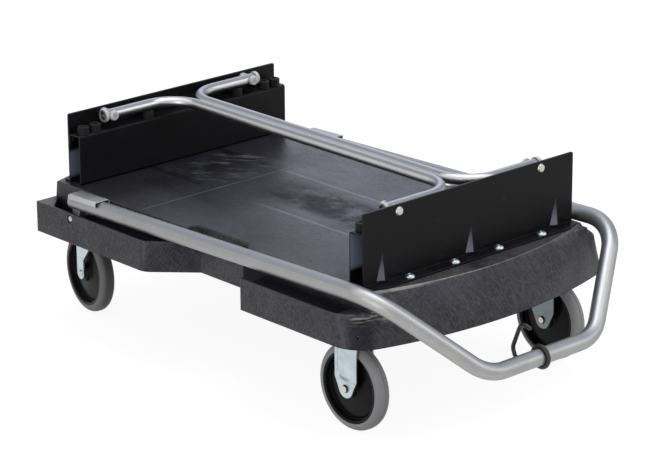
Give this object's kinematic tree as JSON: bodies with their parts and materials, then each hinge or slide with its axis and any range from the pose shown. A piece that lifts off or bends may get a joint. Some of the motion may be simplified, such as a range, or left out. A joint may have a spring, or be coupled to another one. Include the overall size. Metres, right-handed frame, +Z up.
{
  "type": "folding platform cart",
  "caption": "Low folding platform cart for ice bins: moulded deck on casters, upright end plates with swing-out tube rails, a bent push handle folded flat round the deck, and a wire hook.",
  "frame": {"origin": "on the floor, under the middle of the whole cart's length and width, with the cart folded", "axes": "+X to the end with the fixed casters and the folded crossbar, +Y to the left, +Z up"},
  "size_m": [0.862, 0.5, 0.3174],
  "materials": {
    "deck_plastic": "textured",
    "zinc_steel": "zinc plated",
    "black_paint": "satin powder coat",
    "coated_wire": "plastic coated",
    "satin_aluminium": "satin",
    "black_rubber": "matt",
    "grey_tyre": "smooth grey rubber",
    "black_core": "glossy",
    "bush_plastic": "plain",
    "white_nylon": "plain",
    "plug_plastic": "plain"
  },
  "bodies": {
    "chassis": {"bumper_screws": "zinc_steel", "caster_bolts": "zinc_steel", "caster_kingpins": "zinc_steel", "channel_rivets": "zinc_steel", "channel_screws": "zinc_steel", "deck_platform": "deck_plastic", "end_plate_screws": "zinc_steel", "front_axles": "zinc_steel", "front_channel": "black_paint", "front_end_plate": "black_paint", "front_left_fork": "zinc_steel", "front_right_fork": "zinc_steel", "handle_pivot_pins": "zinc_steel", "kingpin_nuts": "zinc_steel", "rail_bumpers": "black_rubber", "rail_pin_caps": "white_nylon", "rail_pivot_pins": "zinc_steel", "rail_pivot_spacers": "white_nylon", "rear_channel": "black_paint", "rear_end_plate": "black_paint", "rear_left_caster_plate": "zinc_steel", "rear_right_caster_plate": "zinc_steel", "swivel_washers": "zinc_steel"},
    "push_handle": {"push_handle": "satin_aluminium", "handle_end_plugs": "plug_plastic", "handle_saddles": "satin_aluminium", "handle_pivot_lugs": "satin_aluminium"},
    "wire_hook": {"wire_hook": "coated_wire"},
    "right_rail": {"right_rail": "satin_aluminium", "right_rail_collars": "white_nylon"},
    "left_rail": {"left_rail": "satin_aluminium", "left_rail_collars": "white_nylon"},
    "rear_right_swivel": {"rear_right_fork": "zinc_steel", "rear_right_axle": "zinc_steel"},
    "front_right_wheel": {"front_right_wheel_core": "black_core", "front_right_wheel_bush": "bush_plastic", "front_right_tyre": "grey_tyre"},
    "rear_right_wheel": {"rear_right_wheel_core": "black_core", "rear_right_wheel_bush": "bush_plastic", "rear_right_tyre": "grey_tyre"},
    "rear_left_swivel": {"rear_left_fork": "zinc_steel", "rear_left_axle": "zinc_steel"},
    "front_left_wheel": {"front_left_wheel_core": "black_core", "front_left_wheel_bush": "bush_plastic", "front_left_tyre": "grey_tyre"},
    "rear_left_wheel": {"rear_left_wheel_core": "black_core", "rear_left_wheel_bush": "bush_plastic", "rear_left_tyre": "grey_tyre"}
  },
  "joints": [
    {"name": "handle_fold", "type": "hinge", "parent": "chassis", "child": "push_handle", "pos_m": [-0.30702, 0, 0.1788], "axis": [0, -1, 0], "range_deg": [0, 83]},
    {"name": "hook_turn", "type": "hinge", "parent": "push_handle", "child": "wire_hook", "pos_m": [0.41297, 0, 0.1015], "axis": [0, 1, 0], "continuous": true},
    {"name": "right_rail_fold", "type": "hinge", "parent": "chassis", "child": "right_rail", "pos_m": [-0.04603, -0.137, 0.3075], "axis": [1, 0, 0], "range_deg": [0, 180]},
    {"name": "left_rail_fold", "type": "hinge", "parent": "chassis", "child": "left_rail", "pos_m": [-0.04603, 0.137, 0.3075], "axis": [-1, 0, 0], "range_deg": [0, 180]},
    {"name": "rear_right_swivel_turn", "type": "hinge", "parent": "chassis", "child": "rear_right_swivel", "pos_m": [-0.33103, -0.175, 0], "axis": [0, 0, 1], "continuous": true},
    {"name": "rear_right_wheel_spin", "type": "hinge", "parent": "rear_right_swivel", "child": "rear_right_wheel", "pos_m": [-0.36845, -0.1684, 0.0625], "axis": [0.1736, 0.9848, 0], "continuous": true},
    {"name": "front_right_wheel_spin", "type": "hinge", "parent": "chassis", "child": "front_right_wheel", "pos_m": [0.24597, -0.193, 0.0625], "axis": [0, 1, 0], "continuous": true},
    {"name": "rear_left_swivel_turn", "type": "hinge", "parent": "chassis", "child": "rear_left_swivel", "pos_m": [-0.33103, 0.175, 0], "axis": [0, 0, 1], "continuous": true},
    {"name": "rear_left_wheel_spin", "type": "hinge", "parent": "rear_left_swivel", "child": "rear_left_wheel", "pos_m": [-0.36845, 0.1816, 0.0625], "axis": [0.1736, 0.9848, 0], "continuous": true},
    {"name": "front_left_wheel_spin", "type": "hinge", "parent": "chassis", "child": "front_left_wheel", "pos_m": [0.24597, 0.193, 0.0625], "axis": [0, 1, 0], "continuous": true}
  ]
}
